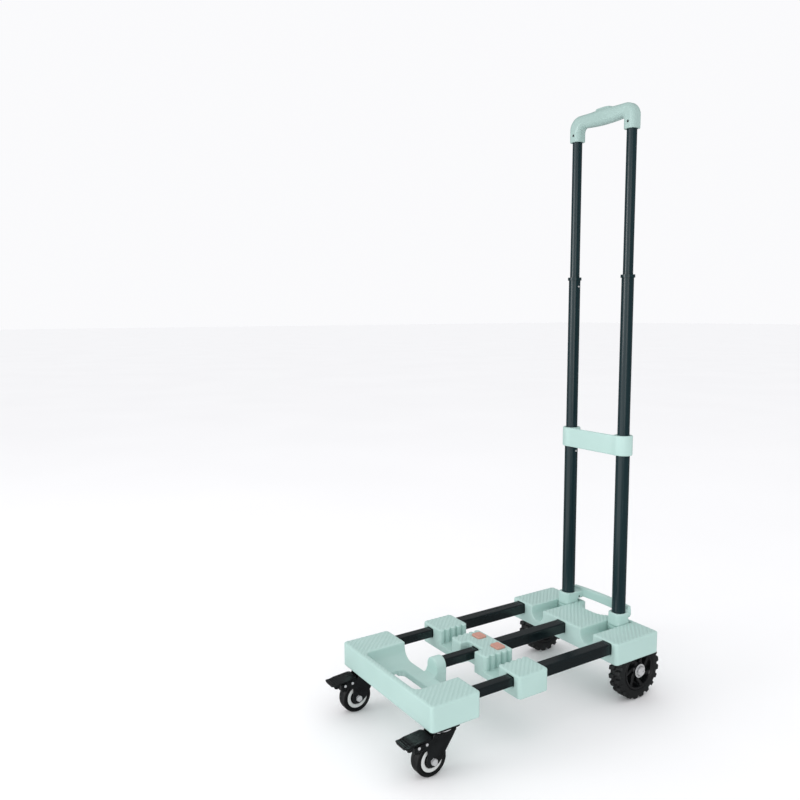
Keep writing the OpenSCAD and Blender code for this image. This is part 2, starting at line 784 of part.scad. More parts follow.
// Side view of the pedal's tread, with its upturned tip
module pedal_outline() {
    y0 = caster_axle_y - 2;
    polygon([
        [y0, pedal_top], [pedal_tip + 14, pedal_top - 2.5], [pedal_tip + 5, pedal_top - 3],
        [pedal_tip, pedal_top - 1.5], [pedal_tip, pedal_top - 1.5 - pedal_t],
        [pedal_tip + 5, pedal_top - 3 - pedal_t], [pedal_tip + 14, pedal_top - 2.5 - pedal_t],
        [y0, pedal_top - pedal_t]
    ]);
}

// Side view of the pedal's web with its brake shoe in front of the tyre
module shoe_outline() {
    polygon([
        [pin_y + 4, pedal_top - 1], [pin_y + 4, pin_z - 2.7],
        [pin_y - 4, pin_z - 4.5], [pin_y - 8, pin_z - 7],
        [pin_y - 12, pin_z - 12], [pin_y - 17, pin_z - 12],
        [pin_y - 20, pedal_top - 2.5]
    ]);
}

module caster_pedal(s) color(black) at_caster(s) difference() {
    union() {
        side_plate(-pedal_w / 2, pedal_w / 2) pedal_outline();
        side_plate(-fork_in + 0.4, fork_in - 0.4) shoe_outline();
    }
    rod_x(-pedal_w, pedal_w, pin_y, pin_z, pin_r + run);
    rod_x(-pedal_w, pedal_w, pin2_y, pin2_z, pin_r + 1.7);
}

module caster_pins(s) color(steel) at_caster(s)
    for (p = [[pin_y, pin_z], [pin2_y, pin2_z]]) {
        rod_x(-fork_out - 0.1, fork_out + 0.1, p[0], p[1], pin_r);
        for (x = [-fork_out - 1.1, fork_out + 0.1]) rod_x(x, x + 1, p[0], p[1], pin_r + pin_head);
    }

module placed() {
    translate([0, -y_centre, 0]) children();
}

placed() {
    front_block();
    front_rail(-rail_x);  // front_rail_left
    front_rail(0);  // front_rail_centre
    front_rail(rail_x);  // front_rail_right
    front_block_screws();
    mid_support();
    release_button(-1);  // release_button_left
    release_button(1);  // release_button_right
    release_spring(-1);  // release_spring_left
    release_spring(1);  // release_spring_right
    rear_block();
    rear_rail(-rail_x);  // rear_rail_left
    rear_rail(0);  // rear_rail_centre
    rear_rail(rail_x);  // rear_rail_right
    rail_screws();
    rear_tyre(-1);  // rear_tyre_left
    rear_tyre(1);  // rear_tyre_right
    rear_hub(-1);  // rear_hub_left
    rear_hub(1);  // rear_hub_right
    rear_axle_bolts();
    rear_axle_nuts();
    hinge_pins();
    yoke();
    lower_tube(-1);  // lower_tube_left
    lower_tube(1);  // lower_tube_right
    yoke_screws();
    collar_bracket();
    lower_tube_rivets();
    middle_tube(-1);  // middle_tube_left
    middle_tube(1);  // middle_tube_right
    middle_tube_glides();
    middle_tube_collars();
    middle_tube_rivets();
    upper_tube(-1);  // upper_tube_left
    upper_tube(1);  // upper_tube_right
    upper_tube_glides();
    grip();
    grip_button();
    grip_spring();
    release_rods();
    grip_screws();
    caster_plate(-1);  // caster_plate_left
    caster_race(-1);  // caster_race_left
    caster_kingpin(-1);  // caster_kingpin_left
    caster_fork(-1);  // caster_fork_left
    caster_axle(-1);  // caster_axle_left
    caster_tyre(-1);  // caster_tyre_left
    caster_core(-1);  // caster_core_left
    caster_pedal(-1);  // caster_pedal_left
    caster_pins(-1);  // caster_pins_left
    caster_plate(1);  // caster_plate_right
    caster_race(1);  // caster_race_right
    caster_kingpin(1);  // caster_kingpin_right
    caster_fork(1);  // caster_fork_right
    caster_axle(1);  // caster_axle_right
    caster_tyre(1);  // caster_tyre_right
    caster_core(1);  // caster_core_right
    caster_pedal(1);  // caster_pedal_right
    caster_pins(1);  // caster_pins_right
}
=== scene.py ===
import math

import bpy
import numpy as np
from mathutils import Matrix, Vector


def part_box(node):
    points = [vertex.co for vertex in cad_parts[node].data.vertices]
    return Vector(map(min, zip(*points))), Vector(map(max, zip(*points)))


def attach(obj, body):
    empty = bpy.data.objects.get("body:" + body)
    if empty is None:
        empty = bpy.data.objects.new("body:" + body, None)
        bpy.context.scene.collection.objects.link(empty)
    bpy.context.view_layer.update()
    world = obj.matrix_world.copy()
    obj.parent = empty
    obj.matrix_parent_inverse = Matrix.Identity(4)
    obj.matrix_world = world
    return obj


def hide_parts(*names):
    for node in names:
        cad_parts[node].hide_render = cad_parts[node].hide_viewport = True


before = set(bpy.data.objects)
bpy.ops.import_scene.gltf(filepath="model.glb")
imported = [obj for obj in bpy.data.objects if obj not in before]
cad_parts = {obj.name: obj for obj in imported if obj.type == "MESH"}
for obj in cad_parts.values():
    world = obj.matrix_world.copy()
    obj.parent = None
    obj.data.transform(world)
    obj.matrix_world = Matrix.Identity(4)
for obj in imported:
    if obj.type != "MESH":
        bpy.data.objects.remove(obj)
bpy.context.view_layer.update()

# %% [markdown]
# A folding platform cart: three ribbed mouldings on sliding rails, two lugged
# wheels behind, two swivel casters in front, and a telescopic handle that folds.
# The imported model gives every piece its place. The mouldings, tyres and castings
# are remade here with the soft edges, ribs and lugs that the plain frame leaves
# out. The tubes, rails, screws and pins are right as they are, so they only get
# a finish.

# %% The cart's measures, read from the frame
MM = 1000.0


def reach(node):
    """Lowest and highest corner of a frame piece, in millimetres."""
    low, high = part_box(node)
    return np.array(low) * MM, np.array(high) * MM


front_low, front_high = reach("front_block")
FRONT_LENGTH = 85.0
pads_y = front_low[1] + FRONT_LENGTH  # rear face of the front pads: stations start here
half_w = front_high[0]
top_z = reach("mid_support")[1][2]
print("stations start at", round(pads_y, 2), "half width", round(half_w, 2), "top", round(top_z, 2))


def station(node):
    """Corners of a frame piece with y counted from the front pads' rear face."""
    low, high = reach(node)
    shift = np.array([0.0, pads_y, 0.0])
    return low - shift, high - shift


# %% [markdown]
# **The camera** stands in front of the cart and to its right, 0.64 m up, which
# is lower than the grip, and looks back at it and slightly down.
# Its lens is about 34 mm on a 36 mm sensor. Its three directions are worked out
# from yaw, pitch and roll and set as one matrix.

# %% The camera
def camera_axes(yaw, pitch, roll):
    """Right, up and forward directions: forward turned by yaw about z and raised by pitch, then rolled."""
    forward = Vector((-math.sin(yaw) * math.cos(pitch), math.cos(yaw) * math.cos(pitch), math.sin(pitch)))
    right = Vector((math.cos(yaw), math.sin(yaw), 0.0))
    up = right.cross(forward)
    rolled_right = math.cos(roll) * right + math.sin(roll) * up
    rolled_up = math.cos(roll) * up - math.sin(roll) * right
    return rolled_right, rolled_up, forward


CAMERA_PLACE = (0.93386, -0.77963, 0.63874)  # metres
CAMERA_TURN = (57.51, -6.38, -0.26)  # yaw, pitch and roll in degrees

lens = bpy.data.cameras.new("studio_camera")
lens.sensor_width = 36.0
lens.lens = 34.48
lens.clip_start = 0.01
camera = bpy.data.objects.new("studio_camera", lens)
bpy.context.scene.collection.objects.link(camera)
right, up, forward = camera_axes(*(math.radians(angle) for angle in CAMERA_TURN))
turn = Matrix((right, up, -forward)).transposed().to_4x4()
camera.matrix_world = Matrix.Translation(CAMERA_PLACE) @ turn
bpy.context.scene.camera = camera
print("camera looks along", [round(v, 3) for v in forward])

# %% [markdown]
# **Finishes.** Each one is a few procedural nodes that read Object coordinates,
# so the pattern is fixed to the piece. Moulded plastic is never quite flat: a
# fine spark-eroded grain breaks the gloss, and a slow wave shows where it shrank.
# A noise gives both, at two scales, through Bump. Values that are the same all
# over, such as coat and sheen, are set on the shader's own sockets.

# %% Helpers for finishes
def new_finish(name, rough, metal=0.0, coat=0.0, sheen=0.0, specular=0.5):
    """A material and its Principled shader, with the even values on the shader's own sockets."""
    material = bpy.data.materials.new(name)
    material.use_nodes = True
    shader = material.node_tree.nodes["Principled BSDF"]
    shader.inputs["Roughness"].default_value = rough
    shader.inputs["Metallic"].default_value = metal
    shader.inputs["Coat Weight"].default_value = coat
    shader.inputs["Coat Roughness"].default_value = 0.18
    shader.inputs["Sheen Weight"].default_value = sheen
    shader.inputs["Specular IOR Level"].default_value = specular
    return material, shader


def grain(material, scale, detail=3.0, stretch=(1.0, 1.0, 1.0)):
    """A noise on Object coordinates, stretched along an axis by a Mapping. Gives its value socket."""
    nodes, links = material.node_tree.nodes, material.node_tree.links
    place = nodes.new("ShaderNodeTexCoord")
    mapping = nodes.new("ShaderNodeMapping")
    mapping.inputs["Scale"].default_value = stretch
    noise = nodes.new("ShaderNodeTexNoise")
    noise.inputs["Scale"].default_value = scale
    noise.inputs["Detail"].default_value = detail
    links.new(place.outputs["Object"], mapping.inputs["Vector"])
    links.new(mapping.outputs["Vector"], noise.inputs["Vector"])
    return noise.outputs["Fac"]


NOISE_LOW, NOISE_HIGH = 0.3, 0.7  # nearly all values of a noise lie between these


def ramp(material, value, dark, light):
    """A noise value turned into a colour that runs from dark to light."""
    node = material.node_tree.nodes.new("ShaderNodeValToRGB")
    material.node_tree.links.new(value, node.inputs["Fac"])
    for stop, place, colour in zip(node.color_ramp.elements, (NOISE_LOW, NOISE_HIGH), (dark, light)):
        stop.position = place
        stop.color = (*colour, 1.0)
    return node.outputs["Color"]


def span(material, value, low, high):
    """A noise value stretched to run from low to high."""
    node = material.node_tree.nodes.new("ShaderNodeMapRange")
    node.inputs["From Min"].default_value = NOISE_LOW
    node.inputs["From Max"].default_value = NOISE_HIGH
    node.inputs["To Min"].default_value = low
    node.inputs["To Max"].default_value = high
    material.node_tree.links.new(value, node.inputs["Value"])
    return node.outputs["Result"]


def relief(material, height, depth, under=None):
    """A Bump of that depth in metres, laid over another one if given."""
    node = material.node_tree.nodes.new("ShaderNodeBump")
    node.inputs["Strength"].default_value = 1.0
    node.inputs["Distance"].default_value = depth
    material.node_tree.links.new(height, node.inputs["Height"])
    if under is not None:
        material.node_tree.links.new(under, node.inputs["Normal"])
    return node.outputs["Normal"]


def moulded(name, dark, light, rough, fine=2600.0, depth=0.00002, slow=9.0, **even):
    """Moulded plastic or rubber: slow colour drift, fine grain in the gloss and in the surface."""
    material, shader = new_finish(name, rough, **even)
    links = material.node_tree.links
    drift = grain(material, slow, 2.0)
    fleck = grain(material, fine, 2.0)
    links.new(ramp(material, drift, dark, light), shader.inputs["Base Color"])
    links.new(span(material, fleck, rough - 0.06, rough + 0.08), shader.inputs["Roughness"])
    shrink = relief(material, grain(material, 38.0, 1.0), 0.0002)
    links.new(relief(material, fleck, depth, shrink), shader.inputs["Normal"])
    return material


def metal_finish(name, dark, light, rough, stretch, scale=120.0, depth=0.00002, **even):
    """Painted, plated or plain metal: streaks drawn out along the piece in colour, gloss and surface."""
    material, shader = new_finish(name, rough, **even)
    links = material.node_tree.links
    streak = grain(material, scale, 4.0, stretch)
    fleck = grain(material, 1800.0, 2.0)
    links.new(ramp(material, streak, dark, light), shader.inputs["Base Color"])
    links.new(span(material, streak, rough - 0.05, rough + 0.07), shader.inputs["Roughness"])
    links.new(relief(material, fleck, depth), shader.inputs["Normal"])
    return material


# %% The cart's finishes
mint = moulded("mint_moulding", (0.43, 0.61, 0.57), (0.475, 0.66, 0.62), 0.4, coat=0.1)
mint_grip = moulded("mint_grip", (0.335, 0.47, 0.44), (0.37, 0.51, 0.48), 0.36, coat=0.12)
coral = moulded("coral_button", (0.55, 0.28, 0.22), (0.61, 0.32, 0.255), 0.42, coat=0.08)
rubber = moulded("tyre_rubber", (0.005, 0.006, 0.0065), (0.012, 0.014, 0.015), 0.45,
                 depth=0.00004, specular=0.35)
caster_rubber = moulded("caster_rubber", (0.003, 0.0035, 0.004), (0.008, 0.009, 0.01), 0.38, specular=0.25)
wheel_plastic = moulded("wheel_plastic", (0.003, 0.0035, 0.004), (0.006, 0.007, 0.008), 0.26, specular=0.5)
pale_ring = moulded("pale_ring", (0.56, 0.58, 0.57), (0.64, 0.66, 0.65), 0.4)
tube_paint = metal_finish("tube_paint", (0.003, 0.017, 0.021), (0.006, 0.024, 0.029), 0.22,
                          (1.0, 1.0, 0.05), specular=0.38)
rail_paint = metal_finish("rail_paint", (0.001, 0.005, 0.006), (0.003, 0.009, 0.011), 0.22,
                          (1.0, 0.05, 1.0), specular=0.45)
powder_coat = metal_finish("powder_coat", (0.003, 0.004, 0.0045), (0.008, 0.01, 0.011), 0.3,
                           (1.0, 1.0, 1.0), scale=60.0, depth=0.00005, specular=0.3)
zinc = metal_finish("zinc_plate", (0.6, 0.61, 0.62), (0.78, 0.79, 0.8), 0.3, (1.0, 1.0, 1.0), metal=0.45)
dark_screw = metal_finish("dark_screw", (0.006, 0.007, 0.008), (0.02, 0.021, 0.022), 0.4,
                          (1.0, 1.0, 1.0), specular=0.3)
print("finishes:", len(bpy.data.materials))

# %% [markdown]
# **How the mouldings are made.** A moulding is one flowing skin: ribs, troughs,
# wells and fillets run into each other. Modelling that by hand with booleans and
# bevels breaks where edges meet. Instead, each moulding is a *distance field*: a
# formula that is negative inside, positive outside and nought on the skin.
# Joining two shapes is the smaller of two distances, cutting one is the larger
# of it and the negated tool, and a small blend between them is a fillet.
# The skin is found on a grid of points by the surface-net method: each cell that
# the skin crosses gets one vertex at the mean of its crossings, and each grid
# edge that it crosses gets one four-sided face.

# %% Distances in the plane and their solids
def rounded(u, v, u0, u1, v0, v1, r):
    """Signed distance to a rectangle with corner radius r: length outside the inner box, minus r."""
    a = np.abs(u - (u0 + u1) / 2) - (u1 - u0) / 2 + r
    b = np.abs(v - (v0 + v1) / 2) - (v1 - v0) / 2 + r
    return np.hypot(np.maximum(a, 0), np.maximum(b, 0)) + np.minimum(np.maximum(a, b), 0) - r


def disc(u, v, u0, v0, r):
    """Signed distance to a circle: distance from its centre minus its radius."""
    return np.hypot(u - u0, v - v0) - r


def outline(u, v, corners):
    """Signed distance to a polygon: the nearest of its edges, negative where the edges wind round."""
    nearest = 1e9
    flips = 1.0
    for (u0, v0), (u1, v1) in zip(corners, corners[1:] + corners[:1]):
        du, dv = u1 - u0, v1 - v0
        share = np.clip(((u - u0) * du + (v - v0) * dv) / (du * du + dv * dv), 0, 1)
        nearest = np.minimum(nearest, np.hypot(u - u0 - share * du, v - v0 - share * dv))
        crosses = (v >= v0) != (v >= v1)
        beside = (u - u0) * dv - (v - v0) * du
        flips = np.where(crosses & ((beside < 0) == (dv > 0)), -flips, flips)
    return nearest * flips


def prism(flat, w, w0, w1, edge):
    """A flat shape carried from w0 to w1, with its rims rounded by edge."""
    a = flat + edge
    b = np.abs(w - (w0 + w1) / 2) - (w1 - w0) / 2 + edge
    return np.hypot(np.maximum(a, 0), np.maximum(b, 0)) + np.minimum(np.maximum(a, b), 0) - edge


def join(a, b, fillet):
    """The smaller of two distances, with the crease between them filled in over that width."""
    h = np.maximum(fillet - np.abs(a - b), 0) / fillet
    return np.minimum(a, b) - h * h * fillet / 4


def cut(a, b, fillet):
    """Shape a without shape b, with the new rim rounded over that width."""
    return -join(-a, b, fillet)


# %% The surface net
def crossing_points(values, cells):
    """For each cell, the mean of the places where its 12 edges meet the skin, counted from its corner."""
    corner = {}
    for k in np.ndindex(2, 2, 2):
        corner[k] = values[cells[:, 0] + k[0], cells[:, 1] + k[1], cells[:, 2] + k[2]]
    total = np.zeros((len(cells), 3))
    count = np.zeros(len(cells))
    for start in corner:
        for axis in range(3):
            if start[axis]:
                continue
            end = tuple(1 if i == axis else start[i] for i in range(3))
            a, b = corner[start], corner[end]
            meets = (a < 0) != (b < 0)
            share = np.where(meets, a / np.where(a == b, 1, a - b), 0)
            place = np.tile(np.array(start, float), (len(cells), 1))
            place[:, axis] = share
            total += place * meets[:, None]
            count += meets
    return total / count[:, None]


def settle(field, points, step):
    """Newton's step along the gradient, twice, so that each point lies on the skin itself."""
    h = 0.04
    for _ in range(2):
        x, y, z = points.T
        value = field(x, y, z)
        slope = np.stack([field(x + h, y, z) - field(x - h, y, z), field(x, y + h, z) - field(x, y - h, z),
                          field(x, y, z + h) - field(x, y, z - h)], axis=1) / (2 * h)
        move = slope * (value / np.maximum((slope ** 2).sum(axis=1), 0.05))[:, None]
        length = np.linalg.norm(move, axis=1, keepdims=True)
        points = points - move * np.minimum(1, 0.4 * step / np.maximum(length, 1e-9))
    return points


def net(field, low, high, step):
    """Vertices and four-sided faces of the skin where field is nought, in the box from low to high."""
    low = np.array(low, float) - 2 * step
    counts = np.ceil((np.array(high) + 2 * step - low) / step).astype(int) + 1
    x, y, z = [low[i] + step * np.arange(counts[i]) for i in range(3)]
    values = np.broadcast_to(field(x[:, None, None], y[None, :, None], z[None, None, :]), counts)
    inside = values < 0
    filled = sum(inside[i:counts[0] - 1 + i, j:counts[1] - 1 + j, k:counts[2] - 1 + k].astype(np.int8)
                 for i, j, k in np.ndindex(2, 2, 2))
    crossed = (filled > 0) & (filled < 8)
    cells = np.argwhere(crossed)
    number = np.full(crossed.shape, -1)
    number[crossed] = np.arange(len(cells))
    points = settle(field, low + step * (cells + crossing_points(values, cells)), step)
    faces = []
    for axis in range(3):
        size = counts.copy()
        size[axis] -= 1
        first = inside[:size[0], :size[1], :size[2]]
        last = inside[tuple(slice(1, None) if i == axis else slice(None) for i in range(3))]
        edges = np.argwhere(first != last)
        u = np.eye(3, dtype=int)[(axis + 1) % 3]
        v = np.eye(3, dtype=int)[(axis + 2) % 3]
        ring = [edges - u - v, edges - v, edges, edges - u]
        quads = np.stack([number[r[:, 0], r[:, 1], r[:, 2]] for r in ring], axis=1)
        outward = first[edges[:, 0], edges[:, 1], edges[:, 2]]
        faces.append(np.where(outward[:, None], quads, quads[:, ::-1]))
    return points, np.concatenate(faces)


# %% Putting a surface into Blender
pieces = []


def put(name, points, faces, finish, body, replaces=()):
    """A mesh from arrays of points in millimetres and four-sided faces, riding on a body of the frame."""
    mesh = bpy.data.meshes.new(name)
    mesh.vertices.add(len(points))
    shifted = (points + np.array([0.0, pads_y, 0.0])) / MM
    mesh.vertices.foreach_set("co", shifted.astype(np.float32).ravel())
    mesh.loops.add(faces.size)
    mesh.loops.foreach_set("vertex_index", faces.astype(np.int32).ravel())
    mesh.polygons.add(len(faces))
    mesh.polygons.foreach_set("loop_start", np.arange(0, faces.size, 4, dtype=np.int32))
    mesh.polygons.foreach_set("use_smooth", np.ones(len(faces), dtype=bool))
    mesh.update(calc_edges=True)
    mesh.validate()
    mesh.materials.append(finish)
    piece = bpy.data.objects.new(name, mesh)
    bpy.context.scene.collection.objects.link(piece)
    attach(piece, body)
    if replaces:
        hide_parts(*replaces)
    pieces.append(piece)
    print(f"{name}: {2 * len(faces)} triangles")
    return piece


def wrap(points):
    """Faces of a grid of points that closes on itself both ways, as a ring does."""
    n, m = points.shape[:2]
    i, j = np.meshgrid(np.arange(n), np.arange(m), indexing="ij")
    i2, j2 = (i + 1) % n, (j + 1) % m
    faces = np.stack([i * m + j, i2 * m + j, i2 * m + j2, i * m + j2], axis=-1).reshape(-1, 4)
    flat = points.reshape(-1, 3)
    a, b, c, d = (flat[faces[:, k]] for k in range(4))
    volume = (np.cross(b - a, c - a) * a).sum() + (np.cross(c - a, d - a) * a).sum()
    return flat, faces if volume > 0 else faces[:, ::-1]


# %% [markdown]
# **The ribbed tops.** All three platform mouldings have the same anti-slip
# surface: low slanting ribs that stop just short of the edges, where the top is
# smooth and rolls over. It could be a bump in the material, but its edge shows
# against the light, so it is real height: a cosine across the slant, raised to a
# power that leaves narrow ridges and wider valleys, and faded out by a mask that
# is the distance to the nearest edge.

# %% The ribs
RIB_PITCH = 6.2
RIB_HEIGHT = 1.2
RIB_INSET = 1.7


def ribbed_top(x, y, edge):
    """Height of the top: a base plane plus ribs. Edge is the distance to the outline, negative inside."""
    across = (x + y) / math.sqrt(2)
    ridge = (0.5 + 0.5 * np.cos(2 * np.pi * across / RIB_PITCH)) ** 1.1
    mask = np.clip((-edge - RIB_INSET) / 1.0, 0, 1)
    return top_z - RIB_HEIGHT - 0.1 + RIB_HEIGHT * ridge * mask * mask * (3 - 2 * mask)


def pockets(x, y, pitch, wall):
    """Plan distance to square hollows on a grid: each is a square of pitch less one wall, repeated."""
    u = (x + pitch / 2) % pitch - pitch / 2
    v = (y + pitch / 2) % pitch - pitch / 2
    half = (pitch - wall) / 2
    return rounded(u, v, -half, half, -half, half, 1.5)


def rail_hole(x, y, z, node, y0, y1, room=0.4):
    """A slot along y around a rail, as wide and high as the rail with that much room."""
    low, high = station(node)
    flat = rounded(x, z, low[0] - room, high[0] + room, low[2] - room, high[2] + room, 2.0)
    return prism(flat, y, y0, y1, 0.1)


# %% [markdown]
# **Front block.** Two ribbed pads with a wide carry opening between them. Its
# floor sweeps up into the pads, a low wall closes the front, a rounded slot lets
# the fingers through, and a round-topped boss takes the middle rail. One field
# holds all of it: slab, minus trough, plus boss, minus slot and rail holes.

# %% Front block
PAD_INNER = 73.0
TROUGH_FLOOR = 82.0
CORNER = 6.0
BOSS_HALF = 13.5  # half width of the boss, and the radius of its round top
BOSS_ROUND_Z = 95.5  # height of that round top's centre
BOSS_END = 21.5
BOSS_SIDE = [(-18, 71), (-18, 81.5), (-6, 82.5), (0, 84.5), (3, 89), (19, 89), (19, 71)]


def front_field(x, y, z):
    """Slab minus trough, joined with the boss, minus the slot, the rail holes and the hollows below."""
    y0 = -FRONT_LENGTH
    plan = rounded(x, y, -half_w, half_w, y0, 0.0, CORNER)
    opening = rounded(x, y, -PAD_INNER, PAD_INNER, y0 + 10.0, 120.0, 12.0)
    top = ribbed_top(x, y, np.maximum(plan, -opening))
    body = prism(plan, z, front_low[2], top, 1.8)
    side_curve = rounded(x, z, -PAD_INNER, PAD_INNER, TROUGH_FLOOR, 200.0, 22.0)
    trough = cut(opening, -side_curve, 5.0)
    body = cut(body, trough, 2.4)
    arch = join(disc(x, z, 0, BOSS_ROUND_Z, BOSS_HALF),
                rounded(x, z, -BOSS_HALF, BOSS_HALF, 60.0, BOSS_ROUND_Z, 0.1), 0.3)
    boss = prism(arch, y, 3.0, BOSS_END, 2.2)
    sweep_up = prism(outline(y, z, BOSS_SIDE), x, -BOSS_HALF, BOSS_HALF, 1.6)
    boss = cut(join(boss, sweep_up, 3.0), z - front_low[2], 1.6)
    body = join(body, boss, 2.5)
    body = cut(body, prism(rounded(x, y, -40, 40, -69, -25.5, 9.0), z, 60.0, 95.0, 0.1), 2.6)
    for side in (-1, 1):
        node = "front_rail_left" if side < 0 else "front_rail_right"
        body = cut(body, rail_hole(x, y, z, node, -60.4, 9.0), 0.8)
    body = cut(body, rail_hole(x, y, z, "front_rail_centre", 5.6, 30.0), 0.8)
    hollow = np.maximum(pockets(x - 9, y + 4, 18.0, 3.0), rounded(x, y, -78, 78, -80, -30, 2))
    below = prism(hollow, z, 50.0, front_low[2] + 5.0, 0.8)
    return cut(body, below, 0.8)


front_box = ((-half_w, -FRONT_LENGTH, front_low[2]), (half_w, BOSS_END, front_high[2]))
points, faces = net(front_field, *front_box, 1.1)
put("front_block_skin", points, faces, mint, "front_section", ("front_block",))

# %% [markdown]
# **Mid support.** A plain bridge across the rails with two channels where the
# folded handle tubes lie. Each channel wall is a row of five round lobes with
# grooves between them: the channel is cut wider by a lobe's radius, and then a
# row of upright cylinders is left standing in it. A notch in front lets the
# front block's boss nest.

# %% Mid support
mid_low, mid_high = station("mid_support")
TUBE_X = 60.0
CHANNEL = 28.0
LOBE = 4.6
lobe_pitch = (mid_high[1] - mid_low[1]) / 5


def mid_field(x, y, z):
    """Slab minus two lobed channels, the notch, the two button wells, the rail holes and the hollows."""
    plan = rounded(x, y, mid_low[0], mid_high[0], mid_low[1], mid_high[1], CORNER)
    beside = np.abs(np.abs(x) - TUBE_X) - CHANNEL / 2
    notch = rounded(x, y, -18, 18, mid_low[1] - 20, mid_low[1] + 16, 3.0)
    wells = rounded(np.abs(x), y, 13.7, 34.3, 106.2, 123.8, 3.2)
    edge = np.maximum(np.maximum(plan, 1.5 - beside), np.maximum(-notch, -wells + 1.0))
    body = prism(plan, z, mid_low[2], ribbed_top(x, y, edge), 1.8)
    along = (y - mid_low[1]) % lobe_pitch - lobe_pitch / 2
    channel = cut(beside - LOBE, disc(beside, along, LOBE, 0.0, LOBE), 0.5)
    body = cut(body, prism(channel, z, 85.0, 200.0, 0.4), 1.0)
    body = cut(body, prism(notch, z, 40.0, 200.0, 0.1), 1.6)
    body = cut(body, prism(wells, z, 94.0, 200.0, 0.1), 0.9)
    for part in ("left", "centre", "right"):
        low = mid_low[1] + (16 if part == "centre" else 0)
        body = cut(body, rail_hole(x, y, z, f"front_rail_{part}", low - 9, low + 9, 0.6), 0.8)
        body = cut(body, rail_hole(x, y, z, f"rear_rail_{part}", low + 2.8, mid_high[1] + 9, 0.4), 0.8)
    inset = rounded(x, y, mid_low[0] + 5, mid_high[0] - 5, mid_low[1] + 5, mid_high[1] - 5, 2)
    hollow = np.maximum(pockets(x, y - 101, 16.0, 3.0), np.maximum(inset, -notch + 3.0))
    return cut(body, prism(hollow, z, 50.0, mid_low[2] + 4.0, 0.8), 0.8)


points, faces = net(mid_field, mid_low, mid_high, 1.0)
put("mid_support_skin", points, faces, mint, "rear_section", ("mid_support",))

# %% [markdown]
# **Rear block.** The deepest moulding: it holds the rails, the handle's hinge
# and the wheels. Round-floored grooves lead to the hinge, a hand recess opens at
# the back, and two lugs hang down beside the wheels. Round wells leave room for
# the tyres.

# %% Rear block
rear_low, rear_high = station("rear_block")
wheel_low, wheel_high = station("rear_tyre_right")
axle_y, axle_z = (wheel_low[1] + wheel_high[1]) / 2, (wheel_low[2] + wheel_high[2]) / 2
HINGE_Y = 354.0
HINGE_Z = 100.0
HINGE_HOLE = 4.1  # radius of the hinge pins' holes
AXLE_HOLE = 4.1  # radius of the rear axle bolts' holes
WELL = 53.0  # radius of the wells round the rear tyres


def rear_field(x, y, z):
    """Slab minus wheel wells, joined with the lugs, minus the grooves, the recess and the rail holes."""
    y0, y1, z0 = rear_low[1], rear_high[1], rear_high[2] - 37.0
    plan = rounded(x, y, -half_w, half_w, y0, y1, CORNER)
    beside = np.abs(np.abs(x) - TUBE_X) - CHANNEL / 2
    groove = np.maximum(beside, y - HINGE_Y - 18)
    recess = join(rounded(x, y, -36, 36, y1 - 28, y1 + 90, 27.9), y1 + 0.5 - y, 9.0)
    edge = np.maximum(plan, np.maximum(-groove, -recess))
    body = prism(plan, z, z0, ribbed_top(x, y, edge), 1.8)
    round_well = disc(y, z, axle_y, axle_z, WELL)
    body = cut(body, prism(round_well, np.abs(x), 95.0, 124.2, 0.4), 1.6)
    hanger = join(disc(y, z, axle_y, axle_z, 12.0),
                  rounded(y, z, axle_y - 12, axle_y + 12, axle_z, z0 + 3, 0.1), 0.3)
    body = join(body, prism(hanger, np.abs(x), 80.0, 93.0, 1.2), 2.5)
    bed = join(disc(np.abs(x), z, TUBE_X, HINGE_Z, 14.0), np.maximum(beside, HINGE_Z - z), 0.2)
    body = cut(body, np.maximum(bed, y - HINGE_Y), 1.8)
    pit = prism(np.maximum(beside, np.abs(y - 347.0) - 25.0), z, 84.3, 200.0, 0.4)
    body = cut(body, pit, 1.8)
    body = cut(body, prism(recess, z, 40.0, 200.0, 0.1), 2.2)
    for part in ("left", "centre", "right"):
        end = station(f"rear_rail_{part}")[1][1]
        body = cut(body, rail_hole(x, y, z, f"rear_rail_{part}", y0 - 9, end + 0.4), 0.8)
    body = cut(body, prism(disc(y, z, HINGE_Y, HINGE_Z, HINGE_HOLE), np.abs(x), 39.8, 80.2, 0.1), 0.3)
    body = cut(body, prism(disc(y, z, axle_y, axle_z, AXLE_HOLE), np.abs(x), 70.0, 100.0, 0.1), 0.3)
    inset = rounded(x, y, -88, 88, y0 + 14, y1 - 5, 2)
    hollow = np.maximum(pockets(x, y - 300, 18.0, 3.2), np.maximum(inset, -recess + 3.0))
    hollow = np.maximum(hollow, -rounded(np.abs(x), y, 77, 96, axle_y - 15, axle_y + 15, 1))
    return cut(body, prism(hollow, z, 50.0, z0 + 4.0, 0.8), 0.8)


rear_box = ((-half_w, rear_low[1], rear_low[2]), (half_w, rear_high[1], rear_high[2]))
points, faces = net(rear_field, *rear_box, 1.15)
put("rear_block_skin", points, faces, mint, "rear_section", ("rear_block",))

# %% [markdown]
# **Release buttons.** Two small coral keys on the mid support. Each is a rounded
# block with a slightly dished face, so it is the same field idea at a finer step.

